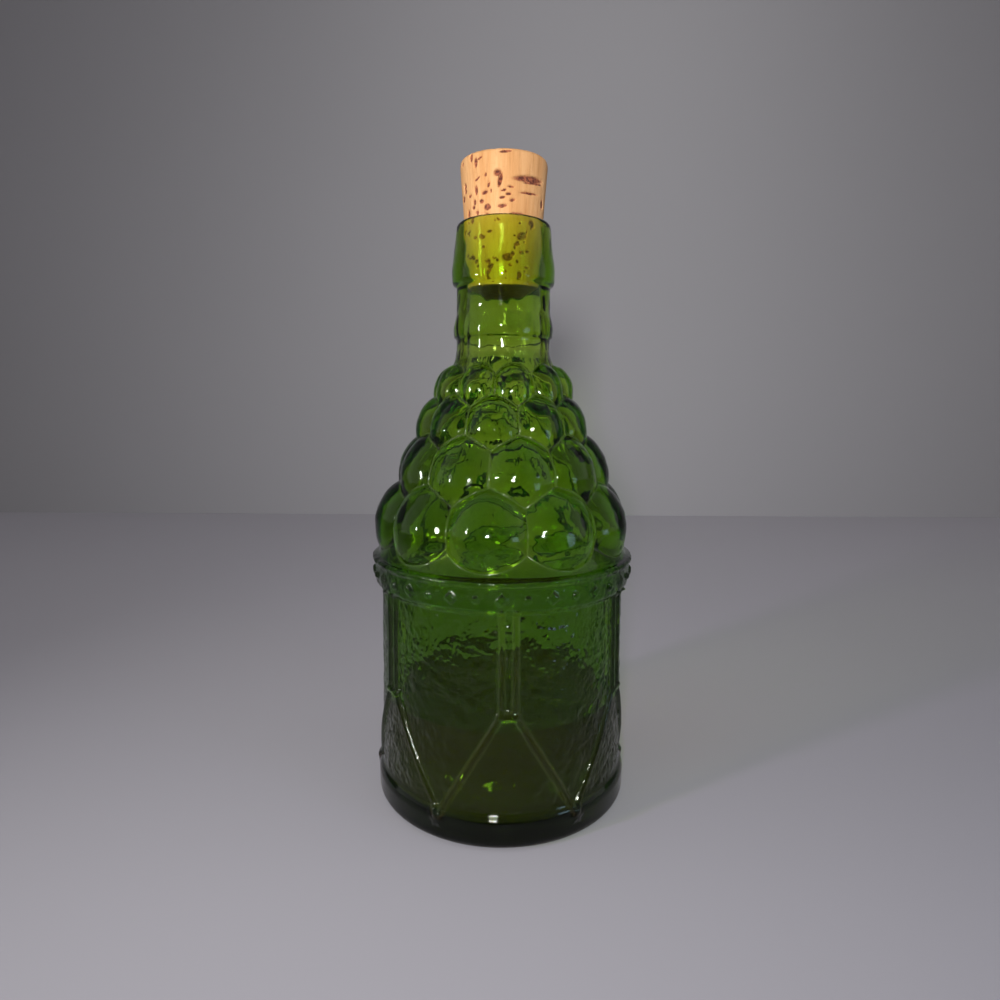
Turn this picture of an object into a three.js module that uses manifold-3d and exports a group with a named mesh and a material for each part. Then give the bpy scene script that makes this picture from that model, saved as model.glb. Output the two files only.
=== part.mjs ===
// Bitters bottle: a moulded glass drum carrying four rows of cannonballs, a ribbed
// neck with a tapered collar, a natural cork, and the bitters left in the drum.
// Millimetres, +Z up. The origin is the centre of the foot, the front faces -Y.

import * as THREE from "three";
import { mergeVertices } from "three/addons/utils/BufferGeometryUtils.js";
import Module from "manifold-3d";

// ---- Driving dimensions ----

const GLASS_HEIGHT = 203;         // foot to lip
const OUTER_SEGMENTS = 32;        // sides of the turned outside
const INNER_SEGMENTS = 24;        // sides of the turned inside
const FIT_GAP = 0.3;              // clearance between neighbouring pieces

// Foot and drum
const HEEL_ROUND = 3.4;           // rounding where the wall meets the table
const BASE_RING_RADIUS = 46.0;    // plain ring at the foot
const BASE_RING_TOP = 10.6;       // upper edge of that ring
const FOOT_BEARING_INNER = 35.0;  // inner edge of the ring that touches the table
const PUSH_UP = 3.0;              // height of the hollow under the foot
const PUSH_UP_CROWN = 0.55;       // share of the bearing's inner radius where the hollow's crown ends
const PUSH_UP_CROWN_RISE = 0.85;  // share of its height there
const BASE_RING_BEVEL = 1.6;      // height of the softened upper edge of the base ring
const BASE_RING_BEVEL_DEPTH = 0.5;
const BASE_COVE = 1.2;            // height of the small cove between ring and wall
const BASE_COVE_DEPTH = 0.4;
const DRUM_RADIUS_LOW = 44.2;     // wall just above the base ring
const DRUM_RADIUS_HIGH = 43.4;    // wall just below the hoop
const DRUM_BOTTOM = 13.4;
const WALL = 3.0;                 // glass thickness of the drum
const FLOOR_THICKNESS = 5.5;      // glass under the bitters
const FLOOR_ROUND = 5.0;          // inside corner of the floor
const FLOOR_RISE_RADIUS = 20;     // where the floor's raised middle starts to fall
const FLOOR_RISE_SHARE = 0.7;     // share of its rise there

// Hoop below the cannonballs
const HOOP_BOTTOM = 78.6;
const HOOP_TOP = 89.3;
const HOOP_RADIUS = 46.9;
const HOOP_LOWER_EDGE_RADIUS = 45.2;
const HOOP_BEAD_RADIUS = 46.6;    // fine bead that edges the hoop above
const HOOP_BEAD_HEIGHT = 1.8;
const HOOP_UNDERCUT = 1.0;        // cove and first step below the hoop's face
const HOOP_UNDERCUT_DEPTH = 0.6;
const HOOP_FACE_LOW = 3.6;        // where the swell of the face starts, above the lower edge
const HOOP_FACE_WIDEST = 5.8;
const HOOP_SOFTENING = 0.3;       // how far the face and the bead fall back at their edges
const HOOP_BEAD_INSET = 0.7;      // bead's upper edge behind its crest
const LEDGE_FOOT = { radius: 44.7, height: 89.6 };  // sloping ledge between hoop and lowest balls
const LEDGE_TOP = { radius: 40.7, height: 96.2 };

// Cannonball rows, from the top: ring radius, ball radius, height of the centres, and how
// much taller than a true ball each is above and below its centre
const BALLS_PER_ROW = 10;
const BALL_PHASE = -7;            // degrees of a ball of the even rows from the front
const BALL_ROWS = [
  { ring: 17.6, ball: 7.4, height: 145.4, above: 1.35, below: 1.35 },
  { ring: 20.4, ball: 10.65, height: 132.5, above: 1.2, below: 1.2 },
  { ring: 24.1, ball: 14.1, height: 115.9, above: 1.2, below: 1.2 },
  { ring: 30.1, ball: 15.7, height: 99.9, above: 1.08, below: 1.24 },
];
const CORE_DEPTH = 0.9;           // how far the body lies behind the seams of the balls
const SHOULDER_WALL = 2.7;        // glass thickness behind the body between the balls
const BALL_DETAIL = 2;

// Ribs, ears and knots of the drum's cords
const CORD_GROUPS = 6;
const CORD_PHASE = 3;             // degrees of the front group
const RIB_WIDTH = 2.1;
const RIB_HEIGHT = 0.8;
const RIB_SPACING = 5.2;          // between the two ribs of a pair
const RIB_EMBED = 1.2;            // how deep a rib sits in the wall
const RIB_FLAT = 0.45;            // share of the width that the rib's top takes
const RIB_SHOULDER = 0.35;        // share of the height where its sides turn in
const RIB_INTO_HOOP = 1.0;        // how far a rib runs up behind the hoop's lower edge
const WALL_EMBED = 0.1;           // how far ribs and ears are set back into the wall
const EAR_HEIGHT = 45.0;          // height of the cross bar under a pair
const EAR_LENGTH = 8.4;
const EAR_RADIUS = 1.6;
const BRACE_RADIUS = 1.25;        // half thickness of a slanting cord
const BRACE_FOOT_HEIGHT = 9.6;
const BRACE_TOP_OFFSET = 3.0;     // degrees from the ear's centre
const BRACE_EMBED = 0.2;          // a cord's centre behind the face of the wall
const BRACE_STEPS = 5;
const KNOT_RADIUS = 2.6;
const KNOT_HEIGHT = 8.4;
const KNOT_EMBED = 0.8;           // knot's centre behind the face of the base ring
const KNOT_FLATTENING = 0.6;

// Neck and collar
const NECK_RADIUS = 16.35;
const NECK_INNER_RADIUS = 14.2;
const NECK_BOTTOM = 160.0;
const FLARE = [                   // root of the neck: how much wider it is, and its height
  { wider: 1.4, height: 155.4 },
  { wider: 0.5, height: 157.6 },
];
const NECK_RING_LOW = 164.6;
const NECK_RING_HIGH = 173.0;
const NECK_RING_RADIUS = 17.5;
const NECK_RING_STEP = 0.4;       // height of the sharp step under the ring
const NECK_RING_STEP_INSET = 0.3;
const NECK_RING_CREST = 0.4;      // share of the ring's height where it is widest
const NECK_RING_FALL = 0.72;      // share where it has fallen back a little
const NECK_RING_FALL_DEPTH = 0.5;
const NECK_INNER_BOTTOM = 156.0;
const COLLAR_BOTTOM = 181.9;
const COLLAR_RADIUS_LOW = 17.85;
const COLLAR_RADIUS_HIGH = 16.2;
const COLLAR_BOTTOM_ROUND = 1.6;
const COLLAR_TOP_ROUND = 1.9;
const COLLAR_SKIRT = 5.5;         // height of the collar's widest part above its lower edge
const BORE_LEAD = 5.0;            // the bore widens to the neck over this height below the collar
const BORE_LEAD_TOP = 1.2;
const LIP_BREAK = 0.4;            // broken inner edge of the lip
const LIP_BREAK_HEIGHT = 1.0;
const CUT_CLEAR = 0.2;            // how far the cutter runs past the lip

// Cork
const CORK_BOTTOM = 181.2;
const CORK_TOP = 222.8;
const CORK_RADIUS_BOTTOM = 11.86;
const CORK_RADIUS_TOP = 15.0;
const CORK_EDGE = 0.9;            // worn edge of the cork's two ends
const CORK_SEGMENTS = 30;

// Bitters
const LEVEL = 38.5;               // free surface above the foot
const MENISCUS = 0.8;             // rise at the wall
const MENISCUS_REACH = 1.6;       // how far from the wall the surface climbs

const degrees = (value) => THREE.MathUtils.degToRad(value);

// ---- Solids ----

const wasm = await Module();
wasm.setup();

/** Signed volume of an indexed triangle list. */
function signedVolume(position, index) {
  const [a, b, c] = [new THREE.Vector3(), new THREE.Vector3(), new THREE.Vector3()];
  let sum = 0;
  for (let i = 0; i < index.length; i += 3) {
    a.fromArray(position, 3 * index[i]);
    b.fromArray(position, 3 * index[i + 1]);
    c.fromArray(position, 3 * index[i + 2]);
    sum += a.dot(b.cross(c)) / 6;
  }
  return sum;
}

/** Turns a closed three.js geometry into a solid that can be joined and cut. */
function solid(geometry) {
  geometry.deleteAttribute("normal");
  geometry.deleteAttribute("uv");
  const merged = mergeVertices(geometry, 1e-4);
  const position = merged.getAttribute("position").array;
  const kept = [];
  const source = merged.getIndex().array;
  for (let i = 0; i < source.length; i += 3) {
    const [a, b, c] = [source[i], source[i + 1], source[i + 2]];
    if (a !== b && b !== c && c !== a) {
      kept.push(a, b, c);
    }
  }
  if (signedVolume(position, kept) < 0) {
    kept.reverse();
  }
  return new wasm.Manifold(new wasm.Mesh({
    numProp: 3,
    vertProperties: new Float32Array(position),
    triVerts: new Uint32Array(kept),
  }));
}

/** A named mesh made from a solid. */
function meshOf(name, body, material) {
  const data = body.getMesh();
  const geometry = new THREE.BufferGeometry();
  geometry.setAttribute("position", new THREE.BufferAttribute(new Float32Array(data.vertProperties), 3));
  geometry.setIndex(new THREE.BufferAttribute(new Uint32Array(data.triVerts), 1));
  geometry.computeVertexNormals();
  const mesh = new THREE.Mesh(geometry, material);
  mesh.name = name;
  return mesh;
}

/** A solid of revolution about Z from [radius, height] pairs that start and end on the axis. */
function turned(profile, segments) {
  const points = profile.map(([radius, height]) => new THREE.Vector2(radius, height));
  return solid(new THREE.LatheGeometry(points, segments).rotateX(Math.PI / 2));
}

/** Points of a circular arc between two angles in degrees, 0 outward and 90 up. */
function arc(radius, height, size, from, to, steps) {
  const points = [];
  for (let i = 0; i <= steps; i += 1) {
    const angle = degrees(from + ((to - from) * i) / steps);
    points.push([radius + size * Math.cos(angle), height + size * Math.sin(angle)]);
  }
  return points;
}

/** The place on a circle about Z, with the angle counted from the front towards +X. */
function around(radius, angle, height) {
  return new THREE.Vector3(radius * Math.sin(degrees(angle)), -radius * Math.cos(degrees(angle)), height);
}

/** Moves a geometry made at the front, x across and -y outward, round to an angle. */
function placed(geometry, radius, angle, height) {
  return geometry.translate(0, -radius, height).rotateZ(degrees(angle));
}

/** Radius of the drum's wall at a height. */
function drumRadius(height) {
  const share = (height - DRUM_BOTTOM) / (HOOP_BOTTOM - DRUM_BOTTOM);
  return THREE.MathUtils.lerp(DRUM_RADIUS_LOW, DRUM_RADIUS_HIGH, THREE.MathUtils.clamp(share, 0, 1));
}

/** Makes a ball taller above and below its centre by its row's two stretches. */
function stretched(geometry, above, below) {
  const position = geometry.getAttribute("position");
  for (let i = 0; i < position.count; i += 1) {
    const height = position.getZ(i);
    position.setZ(i, height * (height > 0 ? above : below));
  }
  return geometry;
}

/** Radius where two neighbouring balls of a row meet. */
function seamRadius({ ring, ball }) {
  const half = Math.PI / BALLS_PER_ROW;
  const offset = ring * Math.sin(half);
  return ring * Math.cos(half) + Math.sqrt(ball * ball - offset * offset);
}

// ---- Outside of the glass ----

/** Profile of the foot and the drum, from the axis under the foot up to the hoop. */
function drumProfile() {
  return [
    [0, PUSH_UP],
    [FOOT_BEARING_INNER * PUSH_UP_CROWN, PUSH_UP * PUSH_UP_CROWN_RISE],
    [FOOT_BEARING_INNER, 0],
    ...arc(BASE_RING_RADIUS - HEEL_ROUND, HEEL_ROUND, HEEL_ROUND, -90, 0, 3),
    [BASE_RING_RADIUS, BASE_RING_TOP - BASE_RING_BEVEL],
    [BASE_RING_RADIUS - BASE_RING_BEVEL_DEPTH, BASE_RING_TOP],
    [DRUM_RADIUS_LOW + BASE_COVE_DEPTH, BASE_RING_TOP + BASE_COVE],
    [DRUM_RADIUS_LOW, DRUM_BOTTOM],
    [DRUM_RADIUS_HIGH, HOOP_BOTTOM - HOOP_UNDERCUT],
  ];
}

/** Profile of the hoop with its top bead and the sloping ledge under the last row. */
function hoopProfile() {
  const beadBottom = HOOP_TOP - HOOP_BEAD_HEIGHT;
  return [
    [DRUM_RADIUS_HIGH + HOOP_UNDERCUT_DEPTH, HOOP_BOTTOM],
    [HOOP_LOWER_EDGE_RADIUS, HOOP_BOTTOM + HOOP_UNDERCUT],
    [HOOP_RADIUS - HOOP_SOFTENING, HOOP_BOTTOM + HOOP_FACE_LOW],
    [HOOP_RADIUS, HOOP_BOTTOM + HOOP_FACE_WIDEST],
    [HOOP_BEAD_RADIUS - HOOP_SOFTENING, beadBottom],
    [HOOP_BEAD_RADIUS, beadBottom + HOOP_BEAD_HEIGHT / 2],
    [HOOP_BEAD_RADIUS - HOOP_BEAD_INSET, HOOP_TOP],
    [LEDGE_FOOT.radius, LEDGE_FOOT.height],
    [LEDGE_TOP.radius, LEDGE_TOP.height],
  ];
}

/** Profile of the body that shows between the balls, narrowing with the seams, and the flare. */
function coreProfile() {
  const rows = [...BALL_ROWS].reverse();
  const points = rows.map((row) => [seamRadius(row) - CORE_DEPTH, row.height]);
  const flare = FLARE.map(({ wider, height }) => [NECK_RADIUS + wider, height]);
  return [...points, ...flare];
}

/** Profile of the neck with its ring and of the collar, up to the axis at the lip. */
function neckProfile() {
  const ringHeight = NECK_RING_HIGH - NECK_RING_LOW;
  return [
    [NECK_RADIUS, NECK_BOTTOM],
    [NECK_RADIUS, NECK_RING_LOW - NECK_RING_STEP / 2],
    [NECK_RING_RADIUS - NECK_RING_STEP_INSET, NECK_RING_LOW + NECK_RING_STEP / 2],
    [NECK_RING_RADIUS, NECK_RING_LOW + NECK_RING_CREST * ringHeight],
    [NECK_RING_RADIUS - NECK_RING_FALL_DEPTH, NECK_RING_LOW + NECK_RING_FALL * ringHeight],
    [NECK_RADIUS, NECK_RING_HIGH],
    [NECK_RADIUS, COLLAR_BOTTOM - FIT_GAP],
    ...arc(COLLAR_RADIUS_LOW - COLLAR_BOTTOM_ROUND, COLLAR_BOTTOM + COLLAR_BOTTOM_ROUND,
      COLLAR_BOTTOM_ROUND, -70, 0, 3),
    [COLLAR_RADIUS_LOW, COLLAR_BOTTOM + COLLAR_SKIRT],
    ...arc(COLLAR_RADIUS_HIGH - COLLAR_TOP_ROUND, GLASS_HEIGHT - COLLAR_TOP_ROUND,
      COLLAR_TOP_ROUND, 10, 90, 4),
    [0, GLASS_HEIGHT],
  ];
}

/** All the balls of the four rows, each row turned half a step against the next. */
function balls() {
  const step = 360 / BALLS_PER_ROW;
  const made = [];
  BALL_ROWS.forEach(({ ring, ball, height, above, below }, row) => {
    const phase = BALL_PHASE + (row % 2 === 0 ? step / 2 : 0);
    for (let i = 0; i < BALLS_PER_ROW; i += 1) {
      const geometry = stretched(new THREE.IcosahedronGeometry(ball, BALL_DETAIL), above, below);
      made.push(solid(placed(geometry, ring, phase + i * step, height)));
    }
  });
  return made;
}

/** Half-round section of an upright rib, x across and y inward from the wall. */
function ribShape() {
  const half = RIB_WIDTH / 2;
  return new THREE.Shape([
    new THREE.Vector2(-half, RIB_EMBED),
    new THREE.Vector2(-half, -RIB_SHOULDER * RIB_HEIGHT),
    new THREE.Vector2(-RIB_FLAT * half, -RIB_HEIGHT),
    new THREE.Vector2(RIB_FLAT * half, -RIB_HEIGHT),
    new THREE.Vector2(half, -RIB_SHOULDER * RIB_HEIGHT),
    new THREE.Vector2(half, RIB_EMBED),
  ]);
}

/** The two upright ribs, ear, slanting cords and knot of one group. */
function cordGroup(angle) {
  const made = [];
  const half = 180 / CORD_GROUPS;
  const middle = (EAR_HEIGHT + HOOP_BOTTOM) / 2;
  for (const side of [-1, 1]) {
    const rib = new THREE.ExtrudeGeometry(ribShape(), {
      depth: HOOP_BOTTOM + RIB_INTO_HOOP - EAR_HEIGHT,
      bevelEnabled: false,
    });
    rib.translate((side * RIB_SPACING) / 2, 0, 0);
    made.push(solid(placed(rib, drumRadius(middle) - WALL_EMBED, angle, EAR_HEIGHT)));
    const path = [];
    for (let i = 0; i <= BRACE_STEPS; i += 1) {
      const share = i / BRACE_STEPS;
      const height = THREE.MathUtils.lerp(EAR_HEIGHT, BRACE_FOOT_HEIGHT, share);
      const turn = angle + side * THREE.MathUtils.lerp(BRACE_TOP_OFFSET, half, share);
      path.push(around(drumRadius(height) - BRACE_EMBED, turn, height));
    }
    const section = new THREE.Shape();
    section.absarc(0, 0, BRACE_RADIUS, 0, 2 * Math.PI, false);
    made.push(solid(new THREE.ExtrudeGeometry(section, {
      steps: BRACE_STEPS,
      curveSegments: 3,
      bevelEnabled: false,
      extrudePath: new THREE.CatmullRomCurve3(path),
    })));
  }
  const ear = new THREE.CylinderGeometry(EAR_RADIUS, EAR_RADIUS, EAR_LENGTH, 6).rotateZ(Math.PI / 2);
  made.push(solid(placed(ear, drumRadius(EAR_HEIGHT) - WALL_EMBED, angle, EAR_HEIGHT)));
  const knot = new THREE.IcosahedronGeometry(KNOT_RADIUS, 1).scale(1, KNOT_FLATTENING, 1);
  made.push(solid(placed(knot, BASE_RING_RADIUS - KNOT_EMBED, angle + half, KNOT_HEIGHT)));
  return made;
}

// ---- Inside of the glass ----

/** Inner radius of the collar at a height: the cork's taper and its clearance. */
function boreRadius(height) {
  return corkRadius(height) + FIT_GAP;
}

/** Inner profile above the floor's corner, from the drum up to just past the lip. */
function innerWallProfile() {
  const rows = [...BALL_ROWS].reverse();
  const shoulder = rows.map((row) => [seamRadius(row) - CORE_DEPTH - SHOULDER_WALL, row.height]);
  return [
    [DRUM_RADIUS_LOW - WALL, FLOOR_THICKNESS + FLOOR_ROUND],
    [DRUM_RADIUS_HIGH - WALL, HOOP_BOTTOM + HOOP_FACE_WIDEST],
    ...shoulder,
    [NECK_INNER_RADIUS, NECK_INNER_BOTTOM],
    [NECK_INNER_RADIUS, COLLAR_BOTTOM - BORE_LEAD],
    [boreRadius(CORK_BOTTOM), COLLAR_BOTTOM - BORE_LEAD_TOP],
    [boreRadius(GLASS_HEIGHT - LIP_BREAK_HEIGHT), GLASS_HEIGHT - LIP_BREAK_HEIGHT],
    [boreRadius(GLASS_HEIGHT) + LIP_BREAK, GLASS_HEIGHT + CUT_CLEAR],
  ];
}

/** Floor of the hollow from the axis to the wall, raised a little in the middle. */
function floorProfile(lift) {
  const corner = arc(DRUM_RADIUS_LOW - WALL - FLOOR_ROUND, FLOOR_THICKNESS + FLOOR_ROUND,
    FLOOR_ROUND - lift, -90, -20, 3);
  return [
    [0, FLOOR_THICKNESS + PUSH_UP + lift],
    [FLOOR_RISE_RADIUS, FLOOR_THICKNESS + PUSH_UP * FLOOR_RISE_SHARE + lift],
    ...corner,
  ];
}

/** Radius of the cork at a height. */
function corkRadius(height) {
  const share = (height - CORK_BOTTOM) / (CORK_TOP - CORK_BOTTOM);
  return THREE.MathUtils.lerp(CORK_RADIUS_BOTTOM, CORK_RADIUS_TOP, share);
}

// ---- Pieces ----

function bottleBody() {
  const outside = turned(
    [...drumProfile(), ...hoopProfile(), ...coreProfile(), ...neckProfile()], OUTER_SEGMENTS);
  const relief = balls();
  for (let i = 0; i < CORD_GROUPS; i += 1) {
    relief.push(...cordGroup(CORD_PHASE + (i * 360) / CORD_GROUPS));
  }
  const hollow = turned(
    [...floorProfile(0), ...innerWallProfile(), [0, GLASS_HEIGHT + CUT_CLEAR]], INNER_SEGMENTS);
  return relief.reduce((body, piece) => body.add(piece), outside).subtract(hollow);
}

function corkBody() {
  return turned([
    [0, CORK_BOTTOM],
    [CORK_RADIUS_BOTTOM - CORK_EDGE, CORK_BOTTOM],
    [CORK_RADIUS_BOTTOM, CORK_BOTTOM + CORK_EDGE],
    [corkRadius(GLASS_HEIGHT), GLASS_HEIGHT],
    [CORK_RADIUS_TOP, CORK_TOP - 3 * CORK_EDGE],
    [CORK_RADIUS_TOP - 0.3 * CORK_EDGE, CORK_TOP - 0.8 * CORK_EDGE],
    [CORK_RADIUS_TOP - CORK_EDGE, CORK_TOP],
    [0, CORK_TOP],
  ], CORK_SEGMENTS);
}

function bittersBody() {
  const radius = DRUM_RADIUS_LOW - WALL - 2 * FIT_GAP;
  return turned([
    ...floorProfile(FIT_GAP),
    [radius, FLOOR_THICKNESS + FLOOR_ROUND],
    [radius, LEVEL + MENISCUS],
    [radius - MENISCUS_REACH, LEVEL],
    [0, LEVEL],
  ], INNER_SEGMENTS);
}

const materials = {
  glass: new THREE.MeshStandardMaterial({ color: 0x4f7a1c, roughness: 0.08, metalness: 0 }),
  cork: new THREE.MeshStandardMaterial({ color: 0xcaa27a, roughness: 0.85, metalness: 0 }),
  bitters: new THREE.MeshStandardMaterial({ color: 0x3a1f08, roughness: 0.05, metalness: 0 }),
};

const bottle = new THREE.Group();
bottle.name = "bitters_bottle";
bottle.add(meshOf("bottle", bottleBody(), materials.glass));
bottle.add(meshOf("cork", corkBody(), materials.cork));
bottle.add(meshOf("bitters", bittersBody(), materials.bitters));

export default bottle;
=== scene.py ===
"""Bitters bottle: a pressed green glass drum under a pyramid of cannonballs, corked, with bitters in it."""

import logging
import math
from dataclasses import dataclass, field
from enum import Enum
from typing import Any

import bpy
import numpy as np
from mathutils import Matrix, Vector

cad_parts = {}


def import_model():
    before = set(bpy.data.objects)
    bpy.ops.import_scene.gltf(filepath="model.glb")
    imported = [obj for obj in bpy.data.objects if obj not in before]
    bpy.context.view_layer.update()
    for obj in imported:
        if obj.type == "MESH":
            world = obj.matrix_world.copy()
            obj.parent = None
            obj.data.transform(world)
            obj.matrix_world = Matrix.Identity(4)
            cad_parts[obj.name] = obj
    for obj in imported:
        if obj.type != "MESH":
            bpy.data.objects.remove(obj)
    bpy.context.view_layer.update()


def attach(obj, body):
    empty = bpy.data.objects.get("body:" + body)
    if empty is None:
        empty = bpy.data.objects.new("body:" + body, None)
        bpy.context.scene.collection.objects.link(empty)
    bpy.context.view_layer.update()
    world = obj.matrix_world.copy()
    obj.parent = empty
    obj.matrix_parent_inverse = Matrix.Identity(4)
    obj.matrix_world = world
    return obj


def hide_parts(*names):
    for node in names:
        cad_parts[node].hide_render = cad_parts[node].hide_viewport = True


MM = 0.001
FULL_TURN = 2.0 * math.pi
BODY = "root"
LOG = logging.getLogger("bitters_bottle")

# A radius that no form reaches.
NOWHERE = -50.0

# A pair is mostly a radius and a height in millimetres, a place is in metres, and a table has rows of pairs.
Pair = tuple[float, float]
Place = tuple[float, float, float]
Table = tuple[Pair, ...]


class Slot(Enum):
    """The record's material slots."""

    GLASS = "green_glass"
    CORK = "cork"
    BITTERS = "bitters"


# Helpers


def linear(hex_colour: str) -> tuple[float, float, float, float]:
    """Turns an sRGB hex colour into the linear colour that shaders use.

    Args:
        hex_colour: Six hex digits with a leading hash.

    Returns:
        Linear red, green, blue and an alpha of one.
    """
    channels = [int(hex_colour[i : i + 2], 16) / 255.0 for i in (1, 3, 5)]
    red, green, blue = (c / 12.92 if c <= 0.04045 else ((c + 0.055) / 1.055) ** 2.4 for c in channels)
    return red, green, blue, 1.0


def add_node(
    tree: bpy.types.NodeTree, kind: str, inputs: dict[Any, Any] | None = None, **settings: Any
) -> Any:
    """Adds a node, sets its properties and fills or links its inputs.

    Args:
        tree: The node tree that gets the node.
        kind: Blender's type name of the node.
        inputs: Input name or index to a value, or to an output socket to link.
        **settings: Properties of the node itself.

    Returns:
        The new node.
    """
    node = tree.nodes.new(kind)
    for name, value in settings.items():
        setattr(node, name, value)
    for name, value in (inputs or {}).items():
        if isinstance(value, bpy.types.NodeSocket):
            tree.links.new(value, node.inputs[name])
        else:
            node.inputs[name].default_value = value
    return node


def new_material(name: str) -> tuple[bpy.types.Material, bpy.types.NodeTree]:
    """Makes an empty node material.

    Args:
        name: The material's name.

    Returns:
        The material and its node tree.
    """
    material = bpy.data.materials.new(name)
    material.use_nodes = True
    material.node_tree.nodes.clear()
    return material, material.node_tree


def lit_through(tree: bpy.types.NodeTree, surface: Any, absorbed: str, density: float, passed: float) -> None:
    """Ends a clear material that is coloured by its depth, so that lamps also light what is behind or in it.

    Args:
        tree: The material's node tree.
        surface: The clear surface's shader node.
        absorbed: Colour that white light takes inside.
        density: Strength of that colour.
        passed: Share of a lamp's light let on at one crossing.
    """
    depth = add_node(tree, "ShaderNodeVolumeAbsorption", {"Color": linear(absorbed), "Density": density})
    shadow = add_node(tree, "ShaderNodeLightPath").outputs["Is Shadow Ray"]
    open_way = add_node(tree, "ShaderNodeBsdfTransparent", {"Color": (passed, passed, passed, 1.0)})
    ways = {0: shadow, 1: surface.outputs[0], 2: open_way.outputs[0]}
    choice = add_node(tree, "ShaderNodeMixShader", ways)
    ends = {"Surface": choice.outputs[0], "Volume": depth.outputs[0]}
    add_node(tree, "ShaderNodeOutputMaterial", ends)


def column_angles(columns: int) -> np.ndarray:
    """Angles from the front of evenly spaced columns, as one row."""
    return (np.arange(columns) * FULL_TURN / columns)[None, :]


def turn_from(angle: np.ndarray, middle: float) -> np.ndarray:
    """Angles from a middle in radians, within half a turn either way."""
    return (angle - middle + math.pi) % FULL_TURN - math.pi


def spread_round(profile: np.ndarray, columns: int) -> tuple[np.ndarray, np.ndarray]:
    """Radii and heights of a profile, repeated for every column."""
    return np.repeat(profile[:, :1], columns, axis=1), np.repeat(profile[:, 1:], columns, axis=1)


def ring_points(radius: np.ndarray, height: np.ndarray, angle: np.ndarray) -> np.ndarray:
    """Places ring points from their radius, height and angle from the front."""
    return np.stack([radius * np.sin(angle), -radius * np.cos(angle), height], axis=-1)


def between(values: np.ndarray, low: float, high: float) -> np.ndarray:
    """Tells which values lie between two limits."""
    return (values > low) & (values < high)


def read_table(height: np.ndarray, table: Table) -> np.ndarray:
    """Reads a table of heights and sizes at each height, straight between its rows."""
    return np.interp(height, *np.array(table).T)


def turned_grid(rows: np.ndarray, bottom: float, top: float, name: str) -> bpy.types.Object:
    """Makes a closed mesh from rings of points, with a pole at each end.

    Args:
        rows: Points in millimetres, shaped rows by columns by three.
        bottom: Height of the pole before the first ring.
        top: Height of the pole after the last ring.
        name: The mesh's and the object's name.

    Returns:
        The new object, smooth shaded.
    """
    count, columns, _ = rows.shape
    points = np.concatenate([rows.reshape(-1, 3), [[0, 0, bottom], [0, 0, top]]]) * MM
    index = np.arange(count * columns).reshape(count, columns)
    following = np.roll(index, -1, axis=1)
    quads = np.stack([index[:-1], following[:-1], following[1:], index[1:]], axis=-1).reshape(-1, 4)
    first, last = count * columns, count * columns + 1
    low_fan = np.stack([following[0], index[0], np.full(columns, first)], axis=-1)
    high_fan = np.stack([index[-1], following[-1], np.full(columns, last)], axis=-1)
    loops = np.concatenate([quads.ravel(), low_fan.ravel(), high_fan.ravel()])
    sizes = np.concatenate([np.full(len(quads), 4), np.full(2 * columns, 3)])
    starts = np.concatenate([[0], np.cumsum(sizes)[:-1]])
    mesh = bpy.data.meshes.new(name)
    mesh.vertices.add(len(points))
    mesh.vertices.foreach_set("co", points.ravel())
    mesh.loops.add(len(loops))
    mesh.loops.foreach_set("vertex_index", loops.astype(np.int32))
    mesh.polygons.add(len(sizes))
    mesh.polygons.foreach_set("loop_start", starts.astype(np.int32))
    mesh.polygons.foreach_set("use_smooth", np.ones(len(sizes), dtype=bool))
    mesh.update(calc_edges=True)
    mesh.validate()
    piece = bpy.data.objects.new(name, mesh)
    bpy.context.scene.collection.objects.link(piece)
    return piece


def store(piece: bpy.types.Object, name: str, values: np.ndarray) -> None:
    """Keeps one number for each point of the rings as a mesh attribute.

    Args:
        piece: The object whose mesh gets the attribute.
        name: The attribute's name.
        values: One value for each ring point; both poles get nought.
    """
    attribute = piece.data.attributes.new(name, "FLOAT", "POINT")
    attribute.data.foreach_set("value", np.concatenate([values.ravel(), [0.0, 0.0]]).astype(np.float32))


def softened(profile: list[Pair], step: float, softness: float, fine: float = 0.1) -> np.ndarray:
    """Resamples a profile evenly and rounds its corners as glass leaves a mould.

    Args:
        profile: Radius and height pairs in millimetres.
        step: Spacing of the new points in millimetres.
        softness: Half width of the rounding in millimetres.
        fine: Spacing that the rounding is worked out at in millimetres.

    Returns:
        The new points, shaped count by two, with both ends kept.
    """
    corners = np.array(profile, dtype=float)
    lengths = np.concatenate([[0.0], np.cumsum(np.hypot(*np.diff(corners, axis=0).T))])
    places = np.arange(0.0, lengths[-1] + fine / 2, fine)
    dense = np.stack([np.interp(places, lengths, corners[:, k]) for k in range(2)], axis=1)
    reach = max(1, int(round(3 * softness / fine)))
    kernel = np.exp(-0.5 * (np.arange(-reach, reach + 1) * fine / softness) ** 2)
    kernel /= kernel.sum()
    before = 2 * dense[0] - dense[reach:0:-1]
    after = 2 * dense[-1] - dense[-2 : -reach - 2 : -1]
    padded = np.concatenate([before, dense, after])
    smooth = np.stack([np.convolve(padded[:, k], kernel, mode="valid") for k in range(2)], axis=1)
    wanted = np.linspace(0.0, places[-1], max(2, int(round(places[-1] / step)) + 1))
    return np.stack([np.interp(wanted, places, smooth[:, k]) for k in range(2)], axis=1)


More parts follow.
